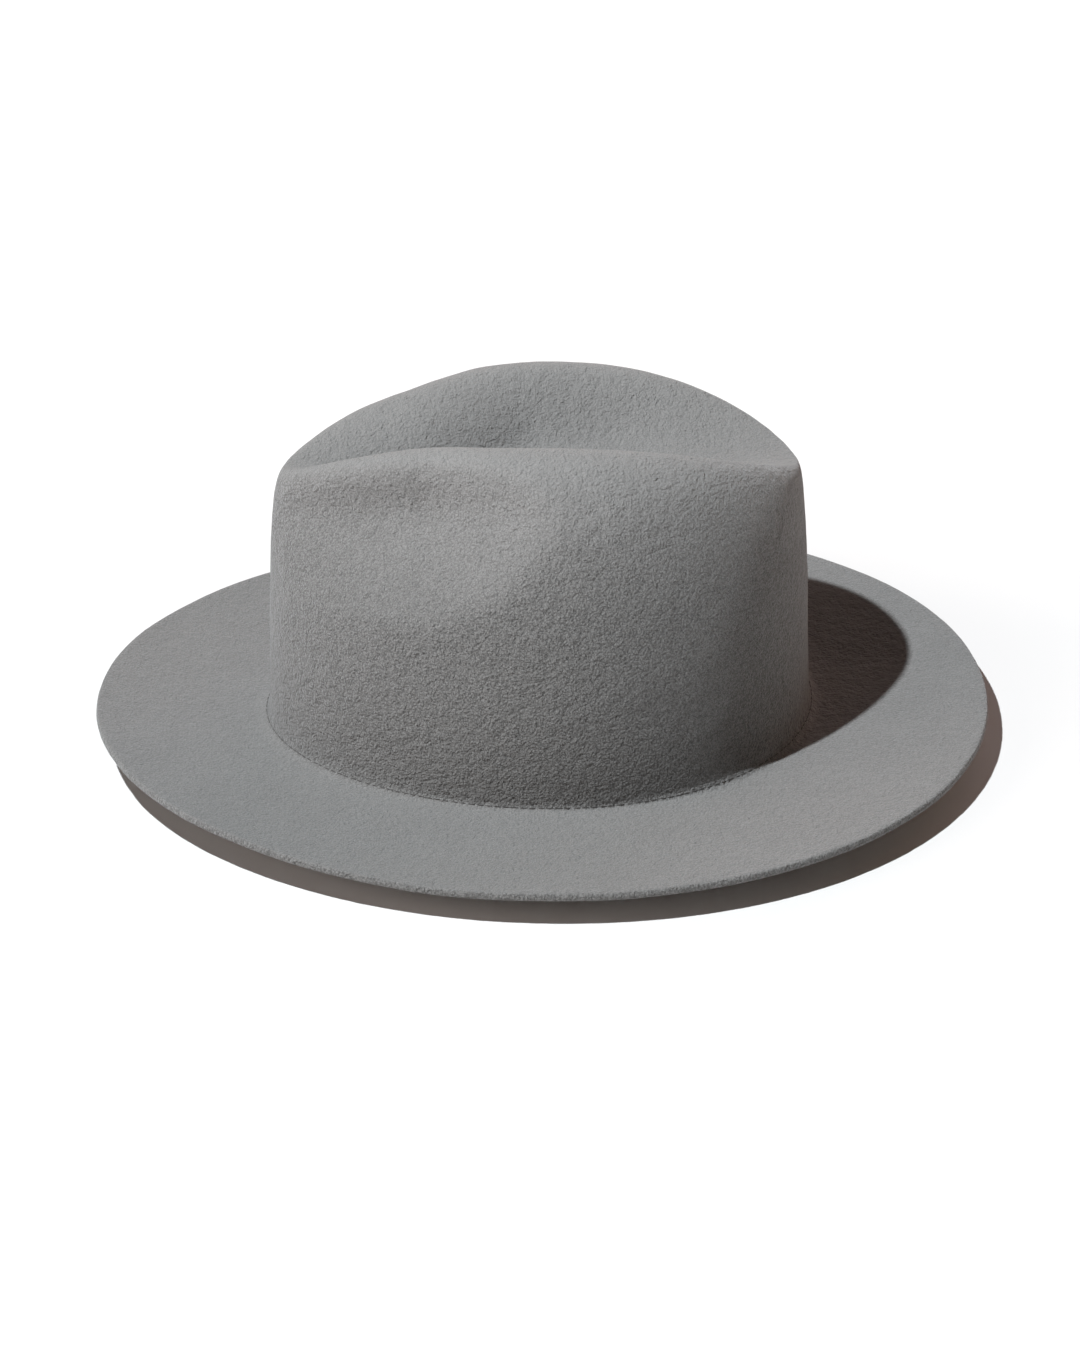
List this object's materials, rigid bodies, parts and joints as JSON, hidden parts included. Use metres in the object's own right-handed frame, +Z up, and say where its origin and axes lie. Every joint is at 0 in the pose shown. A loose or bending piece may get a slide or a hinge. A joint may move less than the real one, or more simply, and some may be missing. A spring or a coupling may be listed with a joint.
{
  "type": "felt fedora hat",
  "caption": "Grey wool felt fedora with a teardrop crown, front side pinches, a raw-edged brim, a leather sweatband and a satin lining.",
  "frame": {"origin": "on the surface that the hat stands on, below the middle of its box", "axes": "+Z up through the crown, +X towards the wearer's left, -Y towards the front of the hat"},
  "size_m": [0.302, 0.3371, 0.1242],
  "materials": {
    "felt": "napped wool felt",
    "sweatband_leather": "smooth grained leather",
    "reed_plastic": "matte",
    "reed_tape": "woven tape",
    "thread": "twisted polyester thread",
    "bow_ribbon": "ribbed ribbon",
    "lining_satin": "satin",
    "piping": "satin-covered cord",
    "label_cloth": "woven label"
  },
  "bodies": {
    "root": {"felt_body": "felt", "sweatband": "sweatband_leather", "reed": "reed_plastic", "reed_tape": "reed_tape", "sweatband_thread": "thread", "back_seam_thread": "thread", "rear_bow": "bow_ribbon", "lining_side": "lining_satin", "lining_tip": "lining_satin", "lining_piping": "piping", "size_label": "label_cloth", "care_label": "label_cloth"}
  },
  "joints": []
}
